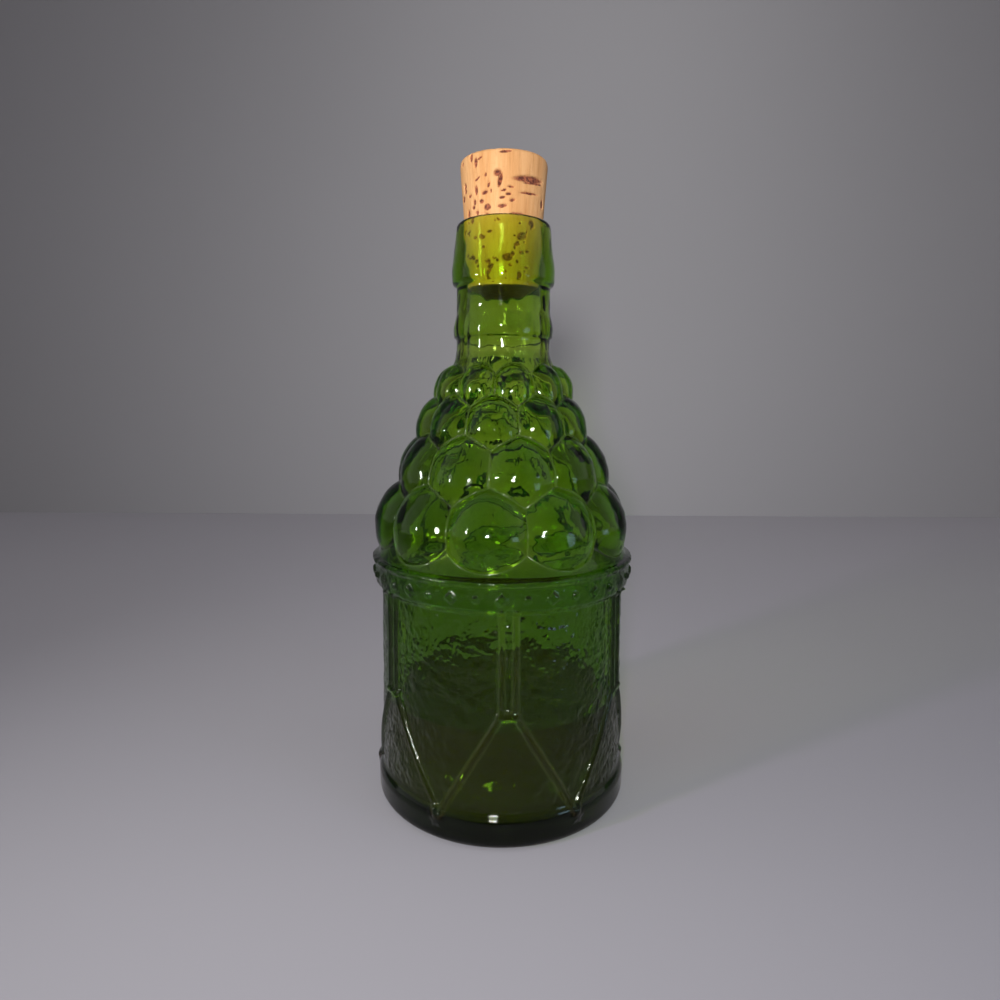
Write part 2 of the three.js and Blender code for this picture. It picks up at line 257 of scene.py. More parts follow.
def waves(shape: tuple[int, ...], pitch: Pair, length: Pair, seed: int) -> np.ndarray:
    """Smooth random heights over the unrolled rings, which close round them.

    Args:
        shape: Number of rings and of columns.
        pitch: Spacing of the rings and of the columns in millimetres.
        length: Shortest wave up and round in millimetres.
        seed: Start of the random draws.

    Returns:
        Heights with a mean square of one.
    """
    up = np.fft.fftfreq(shape[0], pitch[0])[:, None] * length[0]
    across = np.fft.fftfreq(shape[1], pitch[1])[None, :] * length[1]
    draws = np.random.default_rng(seed).standard_normal(shape)
    heights = np.fft.ifft2(np.fft.fft2(draws) * np.exp(-2.0 * (up**2 + across**2))).real
    return heights / heights.std()


def soft_maximum(first: np.ndarray, second: np.ndarray, blend: float) -> np.ndarray:
    """The larger of two radii with a fillet of about the blend's size where they cross."""
    return blend * np.logaddexp(first / blend, second / blend)


def arc(radius: float, height: float, size: float, start: float, end: float, steps: int) -> list[Pair]:
    """Points of a circular arc in the profile's plane.

    Args:
        radius: Radius of the arc's centre from the axis.
        height: Height of the arc's centre.
        size: The arc's own radius.
        start: First angle in degrees, 0 outward and 90 up.
        end: Last angle in degrees.
        steps: Number of pieces.

    Returns:
        Radius and height pairs.
    """
    angles = np.radians(np.linspace(start, end, steps + 1))
    return [(radius + size * math.cos(a), height + size * math.sin(a)) for a in angles]


def distance_to_segment(across: np.ndarray, up: np.ndarray, start: Pair, end: Pair) -> np.ndarray:
    """Distance of points on the unrolled wall from a straight stroke.

    Args:
        across: Arc lengths of the points.
        up: Heights of the points.
        start: Arc length and height of the stroke's start.
        end: Arc length and height of its end.

    Returns:
        The distances, in the units given.
    """
    run, rise = end[0] - start[0], end[1] - start[1]
    share = ((across - start[0]) * run + (up - start[1]) * rise) / (run * run + rise * rise)
    share = np.clip(share, 0.0, 1.0)
    return np.hypot(across - start[0] - share * run, up - start[1] - share * rise)


def half_round(distance: np.ndarray, half_width: float, height: float, taper: float = 0.15) -> np.ndarray:
    """Height of a half-round ridge, a little tapered to its foot, at a distance from its middle line."""
    share = np.clip(distance / half_width, 0.0, 1.0)
    return height * np.sqrt(1.0 - share**2) * (1.0 - taper * share)


# Finishes


@dataclass(frozen=True)
class PressedGreenGlass:
    """Soda glass blown into a mould, coloured through: clear, glossy, darker where it is thick."""

    name: str = "moulded_green_soda_glass"
    absorbed: str = "#def152"
    density: float = 360.0
    passed: float = 0.98
    wall_tone: str = "#ecf5bc"
    panel_tone: str = "#82aa50"
    foot_tone: str = "#a87434"
    gleam: str = "#aab0a4"
    ior: float = 1.52
    seam_clearness: float = 0.97

    def make(self) -> bpy.types.Material:
        """Builds the glass from the roughness and the covers that are stored with its mesh.

        Returns:
            The glass, darker at the drum and browner at the foot.
        """
        material, tree = new_material(self.name)
        dull, seam, tinted, foot = (
            add_node(tree, "ShaderNodeAttribute", attribute_name=name).outputs["Fac"]
            for name in ("dull", "seam", "tinted", "foot")
        )
        tone = linear(self.wall_tone)
        for cover, colour in ((tinted, self.panel_tone), (foot, self.foot_tone)):
            layers = {"Factor": cover, "A": tone, "B": linear(colour)}
            tone = add_node(tree, "ShaderNodeMix", layers, data_type="RGBA").outputs["Result"]
        clouding = {"Value": seam, "To Min": 1.0, "To Max": self.seam_clearness}
        look = {
            "Base Color": tone,
            "Roughness": dull,
            "IOR": self.ior,
            "Specular Tint": linear(self.gleam),
            "Transmission Weight": add_node(tree, "ShaderNodeMapRange", clouding).outputs["Result"],
        }
        surface = add_node(tree, "ShaderNodeBsdfPrincipled", look)
        lit_through(tree, surface, self.absorbed, self.density, self.passed)
        return material


@dataclass(frozen=True)
class BittersLiquid:
    """Aromatic bitters, an alcohol extract: smooth, brown, a little cloudy, dark where it is deep."""

    name: str = "brown_bitters"
    absorbed: str = "#fbd75c"
    density: float = 20.0
    passed: float = 1.0
    cloud_tone: str = "#caae48"
    clearness: float = 0.965
    ior: float = 1.35

    def make(self) -> bpy.types.Material:
        """Builds the liquid.

        Returns:
            The liquid, tinted by its depth and a little by its cloud.
        """
        material, tree = new_material(self.name)
        look = {
            "Base Color": linear(self.cloud_tone),
            "Roughness": 0.0,
            "IOR": self.ior,
            "Transmission Weight": self.clearness,
        }
        surface = add_node(tree, "ShaderNodeBsdfPrincipled", look)
        lit_through(tree, surface, self.absorbed, self.density, self.passed)
        return material


@dataclass(frozen=True)
class BarkGrain:
    """One pattern of the bark: size, detail, the span of its noise that shows, cover, colour and stretch."""

    size_mm: float
    detail: float
    span: Pair
    cover: float
    colour: str
    along: float = 1.0


@dataclass(frozen=True)
class PunchedCork:
    """Natural cork punched from bark: dry and matte, tan, with dark pores and faint growth lines."""

    name: str = "punched_natural_cork"
    pale: str = "#d5a470"
    stain: str = "#98573a"
    pore: str = "#55291d"
    bands: BarkGrain = BarkGrain(5.0, 4.0, (0.32, 0.68), 1.0, "#ba8048", along=0.06)
    growth: BarkGrain = BarkGrain(1.1, 3.0, (0.54, 0.72), 0.45, "#9c6436", along=0.06)
    # The cells of cork are about 0.04 mm across. They are drawn coarser, so that they show.
    cells: BarkGrain = BarkGrain(0.45, 5.0, (0.56, 0.70), 0.35, "#9c6436")
    crumble: float = 0.7
    cell_depth_mm: float = 0.15
    cell_strength: float = 0.6
    tear_mm: float = 1.1
    tear_detail: float = 4.0
    tear_crumble: float = 0.65
    tear_weight: float = 3.2
    edge_span: Pair = (1.95, 2.15)
    core_span: Pair = (2.30, 2.80)
    roughness: float = 0.85
    ior: float = 1.4

    def make(self) -> bpy.types.Material:
        """Builds the cork from its growth bands and lines, its cells and its stored pores.

        Returns:
            The cork, with torn, stained edges round its pores.
        """
        material, tree = new_material(self.name)
        place = add_node(tree, "ShaderNodeTexCoord").outputs["Object"]
        tone = linear(self.pale)
        for grain in (self.bands, self.growth, self.cells):
            run = {"Vector": place, "Scale": (1.0, 1.0, grain.along)}
            pattern = {
                "Vector": add_node(tree, "ShaderNodeMapping", run).outputs["Vector"],
                "Scale": 1.0 / (grain.size_mm * MM),
                "Detail": grain.detail,
                "Roughness": self.crumble,
            }
            noise = add_node(tree, "ShaderNodeTexNoise", pattern).outputs["Fac"]
            low, high = grain.span
            shown = {"Value": noise, "From Min": low, "From Max": high, "To Max": grain.cover}
            share = add_node(tree, "ShaderNodeMapRange", shown).outputs["Result"]
            layers = {"Factor": share, "A": tone, "B": linear(grain.colour)}
            tone = add_node(tree, "ShaderNodeMix", layers, data_type="RGBA").outputs["Result"]
        # The last noise is that of the cells, which also roughen the surface.
        relief = {"Height": noise, "Strength": self.cell_strength, "Distance": self.cell_depth_mm * MM}
        pore, edge, core = self.torn_pores(tree, place)
        depths = {"Factor": core, "A": linear(self.stain), "B": linear(self.pore)}
        stained = add_node(tree, "ShaderNodeMix", depths, data_type="RGBA").outputs["Result"]
        covers = {0: edge, 1: pore}
        share = add_node(tree, "ShaderNodeMath", covers, operation="MULTIPLY", use_clamp=True).outputs[0]
        layers = {"Factor": share, "A": tone, "B": stained}
        look = {
            "Base Color": add_node(tree, "ShaderNodeMix", layers, data_type="RGBA").outputs["Result"],
            "Roughness": self.roughness,
            "IOR": self.ior,
            "Normal": add_node(tree, "ShaderNodeBump", relief).outputs["Normal"],
        }
        surface = add_node(tree, "ShaderNodeBsdfPrincipled", look)
        add_node(tree, "ShaderNodeOutputMaterial", {"Surface": surface.outputs[0]})
        return material

    def torn_pores(self, tree: bpy.types.NodeTree, place: Any) -> tuple[Any, Any, Any]:
        """Tears the smooth covers of the pores with noise.

        Args:
            tree: The cork's node tree.
            place: Output socket of the object's coordinates.

        Returns:
            Output sockets of the smooth cover, of the torn edge's cover and of the dark core's cover.
        """
        pore = add_node(tree, "ShaderNodeAttribute", attribute_name="pore").outputs["Fac"]
        pattern = {
            "Vector": place,
            "Scale": 1.0 / (self.tear_mm * MM),
            "Detail": self.tear_detail,
            "Roughness": self.tear_crumble,
        }
        tear = add_node(tree, "ShaderNodeTexNoise", pattern).outputs["Fac"]
        sum_of = {0: tear, 1: self.tear_weight, 2: pore}
        torn = add_node(tree, "ShaderNodeMath", sum_of, operation="MULTIPLY_ADD").outputs[0]
        edge, core = (
            add_node(tree, "ShaderNodeMapRange", {"Value": torn, "From Min": low, "From Max": high})
            for low, high in (self.edge_span, self.core_span)
        )
        return pore, edge.outputs["Result"], core.outputs["Result"]


@dataclass(frozen=True)
class MatteBackdrop:
    """Painted board, matte and even, for the floor and the wall behind."""

    name: str
    colour: str
    roughness: float = 0.9
    patch_mm: float = 333.0
    unevenness: float = 0.03

    def make(self) -> bpy.types.Material:
        """Builds the board.

        Returns:
            The paint, with a faint unevenness.
        """
        material, tree = new_material(self.name)
        place = add_node(tree, "ShaderNodeTexCoord").outputs["Object"]
        pattern = {"Vector": place, "Scale": 1.0 / (self.patch_mm * MM), "Detail": 2.0}
        cloud = add_node(tree, "ShaderNodeTexNoise", pattern).outputs["Fac"]
        shades = {"Value": cloud, "To Min": 1.0 - self.unevenness, "To Max": 1.0 + self.unevenness}
        shade = add_node(tree, "ShaderNodeMapRange", shades).outputs["Result"]
        scaled = {0: linear(self.colour)[:3], "Scale": shade}
        tone = add_node(tree, "ShaderNodeVectorMath", scaled, operation="SCALE").outputs["Vector"]
        look = {"Base Color": tone, "Roughness": self.roughness}
        surface = add_node(tree, "ShaderNodeBsdfPrincipled", look)
        add_node(tree, "ShaderNodeOutputMaterial", {"Surface": surface.outputs[0]})
        return material


# Pieces


@dataclass(frozen=True)
class BallRow:
    """One ring of cannonballs: ring and ball radius, height of the centres, stretches and turn in degrees."""

    ring: float
    ball: float
    height: float
    stretch_up: float
    stretch_down: float
    turn: float
    count: int = 10

    def seam_radius(self) -> float:
        """Radius where two neighbouring balls meet."""
        half = math.pi / self.count
        offset = self.ring * math.sin(half)
        return self.ring * math.cos(half) + math.sqrt(self.ball**2 - offset**2)

    def reaches(self, angle: np.ndarray, height: np.ndarray, share: float) -> np.ndarray:
        """Outermost radius of each of the row's balls, or a low number where it isn't.

        Args:
            angle: Angles from the front in radians.
            height: Heights in millimetres.
            share: Size of the balls as a share of their outside, with the same centres.

        Returns:
            Radii in millimetres, with the balls along the first axis.
        """
        drop = height - self.height
        drop = drop / np.where(drop > 0.0, self.stretch_up, self.stretch_down)
        found = []
        for k in range(self.count):
            away = angle - math.radians(self.turn) - k * FULL_TURN / self.count
            inside = (share * self.ball) ** 2 - drop**2 - (self.ring * np.sin(away)) ** 2
            reach = self.ring * np.cos(away) + np.sqrt(np.maximum(inside, 0.0))
            found.append(np.where((inside > 0.0) & (np.cos(away) > 0.0), reach, NOWHERE))
        return np.stack(found)


@dataclass
class GlassBottle:
    """The moulded glass: foot, drum with its cords, hoop, cannonballs, neck and collar."""

    columns: int = 700
    glass_height: float = 203.0
    heel_round: float = 3.4
    base_ring_radius: float = 46.0
    base_ring_top: float = 10.6
    foot_bearing_inner: float = 35.0
    push_up: float = 3.0
    drum_radius_low: float = 44.2
    drum_radius_high: float = 43.4
    drum_bottom: float = 13.4
    wall: float = 3.0
    floor_thickness: float = 5.5
    floor_round: float = 5.0
    hoop_bottom: float = 78.6
    hoop_top: float = 89.3
    hoop_radius: float = 46.0
    hoop_lower_edge: float = 45.2
    bead_radius: float = 46.6
    bead_height: float = 1.8
    core_depth: float = 0.9
    cord_groups: int = 6
    cord_turn: float = 3.0
    rib_half_width: float = 1.15
    rib_height: float = 1.15
    rib_spacing: float = 4.5
    crease_width: float = 0.42
    crease_depth: float = 0.14
    crease_cover: float = 0.7
    cord_clearness: float = 0.45
    cord_fade: float = 0.5
    ear_height: float = 45.0
    ear_length: float = 8.4
    ear_radius: float = 1.7
    brace_radius: float = 1.35
    brace_height: float = 1.25
    brace_foot: float = 9.6
    brace_offset: float = 3.0
    knot_radius: float = 2.7
    knot_height: float = 8.4
    knot_rise: float = 0.6
    knot_reach: float = 4.0
    knot_points: int = 6
    knot_point: float = 0.16
    motif_count: int = 36
    motif_height: float = 83.3
    motif_half: Pair = (2.6, 2.4)
    motif_rise: float = 0.95
    motif_slope: float = 2.6
    motif_edge: float = 0.8
    motif_outline: Pair = (0.85, 0.12)
    stud_share: float = 0.55
    hoop_pebbled: float = 0.5
    neck_radius: float = 16.35
    neck_inner: float = 14.2
    neck_bottom: float = 160.0
    ring_low: float = 164.6
    ring_high: float = 173.0
    ring_radius: float = 17.5
    collar_bottom: float = 181.9
    collar_low: float = 17.85
    collar_high: float = 16.2
    collar_bottom_round: float = 1.6
    collar_top_round: float = 1.9
    bore_low: float = 12.16
    bore_high: float = 13.83
    rows: tuple[BallRow, ...] = (
        BallRow(17.6, 7.4, 145.4, 1.35, 1.35, 11.0),
        BallRow(20.4, 10.65, 132.5, 1.20, 1.20, -7.0),
        BallRow(24.1, 14.1, 115.9, 1.20, 1.20, 11.0),
        BallRow(30.1, 15.7, 99.9, 1.08, 1.24, -7.0),
    )
    row_blend: float = 0.2
    seam_width: float = 0.30
    seam_depth: float = 0.25
    wall_roughness: float = 0.05
    seam_roughness: float = 0.15
    ring_step: float = 0.47
    neck_step: float = 0.7
    inner_step: float = 1.8
    shoulder_wall: float = 0.9
    even_floor: float = 10.0
    pebble_length: float = 0.8
    pebble_rise: float = 0.08
    pebble_fade: float = 1.0 / 3.0
    pebble_seed: int = 3
    panel_roughness: float = 0.05
    ball_pebbled: float = 0.16
    hammer_length: float = 3.2
    hammer_rise: float = 0.10
    hammer_seed: int = 4
    wave_seed: int = 5
    wave_radius: float = 24.525
    foot_fade: Pair = (1.5, 2.5)
    tint: Table = ((84.0, 1.0), (95.0, 0.40), (125.0, 0.20), (150.0, 0.0))
    outside_length: Pair = (4.0, 9.0)
    outside_waves: Table = (
        (0.0, 0.0),
        (8.0, 0.03),
        (90.0, 0.03),
        (98.0, 0.07),
        (150.0, 0.07),
        (160.0, 0.06),
        (203.0, 0.05),
    )
    inside_length: Pair = (5.0, 5.0)
    inside_waves: Table = (
        (12.0, 0.08),
        (86.0, 0.10),
        (95.0, 0.24),
        (150.0, 0.24),
        (158.0, 0.10),
        (176.0, 0.10),
        (181.0, 0.02),
        (203.0, 0.02),
    )
    inner_share: float = 0.55
    inner_blend: float = 1.8
    ledge_foot: Pair = (44.7, 89.6)
    ledge_top: Pair = (40.7, 96.2)
    outermost: float = 46.85
    inner_rows: np.ndarray = field(init=False, repr=False)

    def outer_profile(self) -> np.ndarray:
        """The outside from the axis under the foot up to the lip.

        Returns:
            Radius and height pairs in millimetres.
        """
        core = [(row.seam_radius() - self.core_depth, row.height) for row in self.rows[::-1]]
        ring = self.ring_high - self.ring_low
        bead = self.hoop_top - self.bead_height
        bearing = self.foot_bearing_inner
        heel, under, lip = self.heel_round, self.collar_bottom_round, self.collar_top_round
        foot = [
            (1.0, self.push_up),
            (0.55 * bearing, 0.85 * self.push_up),
            (0.88 * bearing, 0.35 * self.push_up),
            (bearing + 0.5, 0.05),
        ]
        drum = [
            foot[-1],
            *arc(self.base_ring_radius - heel, heel, heel, -90, 0, 8),
            (self.base_ring_radius, self.base_ring_top - 1.6),
            (self.base_ring_radius - 0.5, self.base_ring_top),
            (self.drum_radius_low + 0.4, self.base_ring_top + 1.2),
            (self.drum_radius_low, self.drum_bottom),
            (self.drum_radius_high, self.hoop_bottom - 1.0),
        ]
        hoop = [
            drum[-1],
            (self.drum_radius_high + 0.6, self.hoop_bottom),
            (self.hoop_lower_edge, self.hoop_bottom + 0.7),
            (self.hoop_lower_edge + 0.5, self.hoop_bottom + 1.6),
            (self.hoop_radius - 0.3, self.hoop_bottom + 3.0),
            (self.hoop_radius, self.hoop_bottom + 5.8),
            (self.bead_radius - 0.6, bead - 0.4),
            (self.bead_radius + 0.2, bead + 0.3),
            (self.bead_radius + 0.2, bead + 1.2),
            (self.bead_radius - 0.7, self.hoop_top),
            self.ledge_foot,
            self.ledge_top,
            *core,
            (self.neck_radius + 1.4, self.neck_bottom - 4.6),
            (self.neck_radius + 0.5, self.neck_bottom - 2.4),
        ]
        neck = [
            hoop[-1],
            (self.neck_radius, self.neck_bottom),
            (self.neck_radius, self.ring_low - 0.3),
            (self.ring_radius - 0.3, self.ring_low + 0.1),
            (self.ring_radius, self.ring_low + 0.4 * ring),
            (self.ring_radius - 0.5, self.ring_low + 0.72 * ring),
            (self.neck_radius, self.ring_high),
            (self.neck_radius, self.collar_bottom - 0.4),
            *arc(self.collar_low - under, self.collar_bottom + under, under, -80, 0, 6),
            (self.collar_low, self.collar_bottom + 5.5),
            *arc(self.collar_high - lip, self.glass_height - lip, lip, 10, 90, 8),
        ]
        # Each stretch has the spacing of its rings and the softness of its corners.
        stretches = (
            (drum, self.ring_step, 0.25),
            (hoop, self.ring_step, 0.2),
            (neck, self.neck_step, 0.22),
        )
        return np.concatenate([softened(foot, 2.0, 1.5), *(softened(*one)[1:] for one in stretches)])

    def inner_profile(self) -> np.ndarray:
        """The inside from the lip down to the middle of the floor.

        Returns:
            Radius and height pairs in millimetres.
        """
        depth = self.core_depth + self.shoulder_wall * self.wall
        floor, bend = self.floor_thickness, self.floor_round
        inside = [
            (self.collar_high - self.collar_top_round, self.glass_height),
            (self.bore_high + 0.25, self.glass_height - 0.15),
            (self.bore_high, self.glass_height - 0.8),
            (self.bore_low + 0.1, self.collar_bottom - 1.2),
            (self.bore_low + 0.9, self.collar_bottom - 9.0),
            (self.neck_inner, self.neck_bottom),
            (self.neck_inner, self.neck_bottom - 4.0),
            *((row.seam_radius() - depth, row.height) for row in self.rows),
            (self.drum_radius_high - self.wall, self.hoop_top - 5.0),
            *arc(self.drum_radius_low - self.wall - bend, floor + bend, bend, 0, -90, 8),
            (20.0, floor + 0.7 * self.push_up),
            (1.0, floor + self.push_up),
        ]
        return softened(inside, self.inner_step, 0.5)[1:]

    def cord_relief(self, angle: np.ndarray, height: np.ndarray) -> tuple[np.ndarray, np.ndarray]:
        """Height of the cords and ears above the drum, and the cover of the crease along their feet.

        Args:
            angle: Angles from the front in radians.
            height: Heights in millimetres.

        Returns:
            Heights in millimetres, nought on the bare wall, and covers from nought to one.
        """
        relief = np.zeros(np.broadcast(angle, height).shape)
        nearest = np.full_like(relief, np.inf)
        wall, ear = self.drum_radius_low, self.ear_height
        pitch = FULL_TURN / self.cord_groups
        reach = self.ear_length / 2 - self.ear_radius
        strokes = [((-reach, ear), (reach, ear), self.ear_radius, 1.05 * self.ear_radius)]
        for side in (-1, 1):
            line = side * self.rib_spacing / 2
            top = (side * wall * math.radians(self.brace_offset), ear)
            tip = (side * wall * pitch / 2, self.brace_foot)
            strokes.append(((line, ear), (line, self.hoop_bottom + 3), self.rib_half_width, self.rib_height))
            strokes.append((top, tip, self.brace_radius, self.brace_height))
        for k in range(self.cord_groups):
            across = wall * turn_from(angle, math.radians(self.cord_turn) + k * pitch)
            for start, end, half_width, rise in strokes:
                distance = distance_to_segment(across, height, start, end)
                relief = np.maximum(relief, half_round(distance, half_width, rise))
                nearest = np.minimum(nearest, distance - half_width)
        return relief, np.exp(-((nearest / self.crease_width) ** 2))

    def knot_relief(self, angle: np.ndarray, height: np.ndarray) -> np.ndarray:
        """Height of the star knots above the base ring.

        Args:
            angle: Angles from the front in radians.
            height: Heights in millimetres.

        Returns:
            Heights in millimetres, nought beside the knots.
        """
        relief = np.zeros(np.broadcast(angle, height).shape)
        pitch = FULL_TURN / self.cord_groups
        rise = height - self.knot_height
        for k in range(self.cord_groups):
            middle = math.radians(self.cord_turn) + (k + 0.5) * pitch
            across = self.base_ring_radius * turn_from(angle, middle)
            bearing = np.arctan2(rise, across)
            edge = self.knot_radius * (1.0 + self.knot_point * np.cos(self.knot_points * bearing))
            share = np.clip(np.hypot(across, rise) / edge, 0.0, 1.0)
            relief = np.maximum(relief, self.knot_rise * (1.0 - share**2))
        return relief

    def motif_share(self, angle: np.ndarray, height: np.ndarray) -> np.ndarray:
        """Finds the lozenges and studs that alternate round the hoop.

        Args:
            angle: Angles from the front in radians.
            height: Heights in millimetres.

        Returns:
            Distance from the nearest one's middle, with one at its edge.
        """
        pitch = FULL_TURN / self.motif_count
        turn = (angle + pitch / 2) / pitch
        place = (turn - np.floor(turn) - 0.5) * pitch * self.hoop_radius
        rise = height - self.motif_height
        lozenge = np.abs(place) / self.motif_half[0] + np.abs(rise) / self.motif_half[1]
        stud = np.hypot(place, rise) / (self.stud_share * self.motif_half[1])
        return np.where(np.floor(turn).astype(int) % 2 == 0, lozenge, stud)

    def wall_waves(self, height: np.ndarray, step: float, length: Pair, sizes: Table) -> np.ndarray:
        """Unevenness that the mould and the blowing leave, stronger at some heights.

        Args:
            height: Heights of the points.
            step: Spacing of the rings.
            length: Shortest wave up and round.
            sizes: Height and size pairs of the unevenness.

        Returns:
            Heights over the wall in millimetres.
        """
        pitch = (step, FULL_TURN * self.wave_radius / self.columns)
        uneven = waves(height.shape, pitch, length, self.wave_seed + len(height))
        return uneven * read_table(height, sizes)

    def add_balls(self, radius: np.ndarray, height: np.ndarray, angle: np.ndarray) -> np.ndarray:
        """Lets the cannonballs swell out of the shoulder.

        Args:
            radius: Radii of the outside, which are changed in place.
            height: Heights of the outside.
            angle: Angles of the columns.

        Returns:
            Cover of the seams between the balls.
        """
        near = between(height[:, 0], self.ledge_foot[1] - 0.2, self.neck_bottom)
        balls = np.concatenate([row.reaches(angle, height[near], 1.0) for row in self.rows])
        forms = np.sort(np.concatenate([balls, radius[near][None]]), axis=0)
        seam = np.zeros_like(radius)
        seam[near] = np.exp(-(((forms[-1] - forms[-2]) / self.seam_width) ** 2))
        radius[near] = soft_maximum(forms[-1], forms[-2], self.row_blend) - self.seam_depth * seam[near]
        return seam

    def outer_surface(self, angle: np.ndarray) -> tuple[np.ndarray, np.ndarray, dict[str, np.ndarray]]:
        """The outside as a grid over height and angle.

        Args:
            angle: Angles of the columns.

        Returns:
            Radii, heights, and what is stored for the finish at each point.
        """
        radius, height = spread_round(self.outer_profile(), self.columns)
        seam = self.add_balls(radius, height, angle)
        on_drum = between(height, self.brace_foot - 1.0, self.hoop_bottom + 1.2)
        on_ring = between(height, self.knot_height - self.knot_reach, self.knot_height + self.knot_reach)
        on_hoop = between(height, self.hoop_bottom + 1.0, self.hoop_top - 2.0)
        on_balls = between(height, self.ledge_foot[1], self.neck_bottom)
        cords, creases = self.cord_relief(angle, height)
        motif = np.where(on_hoop, self.motif_share(angle, height), np.inf)
        relief = np.where(on_drum, cords - self.crease_depth * creases, 0.0)
        relief = np.maximum(relief, np.where(on_ring, self.knot_relief(angle, height), 0.0))
        relief = np.maximum(relief, self.motif_rise * np.clip(self.motif_slope * (1.0 - motif), 0.0, 1.0))
        seam = np.maximum(seam, np.where(on_drum, self.crease_cover * creases, 0.0))
        outline = np.exp(-(((motif - self.motif_outline[0]) / self.motif_outline[1]) ** 2))
        seam = np.maximum(seam, self.motif_edge * outline)
        cleared = self.cord_clearness * on_drum * np.clip(cords / self.cord_fade, 0.0, 1.0)
        tinted = read_table(height, self.tint) * (1.0 - cleared)
        bare = 1.0 - np.clip(relief / self.pebble_fade, 0.0, 1.0)
        pebbled = between(height, self.drum_bottom, self.hoop_top) * bare
        pebbled = pebbled * np.where(on_hoop, self.hoop_pebbled, 1.0)
        pebbled = np.maximum(pebbled, self.ball_pebbled * on_balls * (1.0 - seam))
        pitch = (self.ring_step, FULL_TURN * self.drum_radius_low / self.columns)
        fine = waves(radius.shape, pitch, (self.pebble_length, self.pebble_length), self.pebble_seed)
        broad = waves(radius.shape, pitch, (self.hammer_length, self.hammer_length), self.hammer_seed)
        relief = relief + pebbled * (self.pebble_rise * fine + self.hammer_rise * broad)
        relief = relief + self.wall_waves(height, self.ring_step, self.outside_length, self.outside_waves)
        radius = np.minimum(radius + relief, np.maximum(radius, self.outermost))
        dull = self.wall_roughness + self.seam_roughness * seam + self.panel_roughness * pebbled
        foot = np.clip((self.base_ring_top + self.foot_fade[0] - height) / self.foot_fade[1], 0.0, 1.0)
        return radius, height, {"tinted": tinted, "foot": foot, "seam": seam, "dull": dull}

    def inner_surface(self, angle: np.ndarray) -> tuple[np.ndarray, np.ndarray]:
        """The inside as a grid over height and angle. It follows the balls in part, so each is a lens.

        Args:
            angle: Angles of the columns.

        Returns:
            Radii and heights, from the lip down to the floor.
        """
        radius, height = spread_round(self.inner_profile(), self.columns)
        near = between(height[:, 0], self.ledge_foot[1], self.neck_bottom)
        for row in self.rows:
            balls = row.reaches(angle, height[near], self.inner_share).max(axis=0)
            radius[near] = soft_maximum(radius[near], balls, self.inner_blend)
        uneven = self.wall_waves(height, self.inner_step, self.inside_length, self.inside_waves)
        return radius + uneven * (radius > self.even_floor), height

    def build(self, finish: bpy.types.Material) -> bpy.types.Object:
        """Builds the glass as one closed skin, outside and inside.

        Args:
            finish: The glass material.

        Returns:
            The glass, in place of its CAD solid.
        """
        angle = column_angles(self.columns)
        radius, height, covers = self.outer_surface(angle)
        inner_radius, inner_height = self.inner_surface(angle)
        self.inner_rows = ring_points(inner_radius, inner_height, angle)
        rings = np.concatenate([ring_points(radius, height, angle), self.inner_rows])
        glass = turned_grid(rings, self.push_up, self.floor_thickness + self.push_up, "moulded_glass")
        for name, values in covers.items():
            inner = self.wall_roughness if name == "dull" else 0.0
            store(glass, name, np.concatenate([values, np.full_like(inner_radius, inner)]))
        glass.data.materials.append(finish)
        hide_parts("bottle")
        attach(glass, BODY)
        return glass


@dataclass
class BittersFill:
    """The bitters in the drum, up to their level, with a meniscus at the glass."""

    level: float = 38.5
    meniscus: float = 0.8
    meniscus_reach: float = 2.4
    into_wall: float = 0.30
    columns: int = 240
    rim_rings: int = 7
    flat_rings: int = 15

    def build(self, wall_rows: np.ndarray, finish: bpy.types.Material) -> bpy.types.Object:
        """Builds the liquid from the inside of the glass, so that no gap of air shows.

        Args:
            wall_rows: Rings of the inside of the glass, from the lip down to the floor.
            finish: The liquid's material.

        Returns:
            The liquid, in place of its CAD solid.
        """
        radius = np.hypot(wall_rows[..., 0], wall_rows[..., 1]).mean(axis=1)
        height = wall_rows[..., 2].mean(axis=1)
        keep = (height < self.level) & (np.arange(len(height)) > np.argmax(radius))
        side = np.stack([radius[keep], height[keep]], axis=1)[::-1]
        direction = np.gradient(side, axis=0)
        direction /= np.linalg.norm(direction, axis=1, keepdims=True)
        side = side + self.into_wall * np.stack([direction[:, 1], -direction[:, 0]], axis=1)
        side[:, 0] = np.maximum(side[:, 0], 0.5)
        edge = side[-1, 0]
        climb = [[edge, self.level + self.meniscus]]
        inward = np.linspace(0.0, self.meniscus_reach, self.rim_rings + 1)[1:]
        lift = self.meniscus * (1.0 - inward / self.meniscus_reach) ** 2
        rim = np.stack([edge - inward, self.level + lift], axis=1)
        flat = np.linspace(edge - self.meniscus_reach, 1.0, self.flat_rings + 1)[1:]
        surface = np.stack([flat, np.full_like(flat, self.level)], axis=1)
        profile = np.concatenate([side, climb, rim, surface])
        rings = ring_points(*spread_round(profile, self.columns), column_angles(self.columns))
        bitters = turned_grid(rings, profile[0, 1], self.level, "bitters_fill")
        bitters.data.materials.append(finish)
        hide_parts("bitters")
        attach(bitters, BODY)
        return bitters


@dataclass(frozen=True)
class Pore:
    """A pore or crack of the cork: angle from the front, height, half sizes, slant and depth."""

    angle: float
    height: float
    half_across: float
    half_up: float
    slant: float
    depth: float


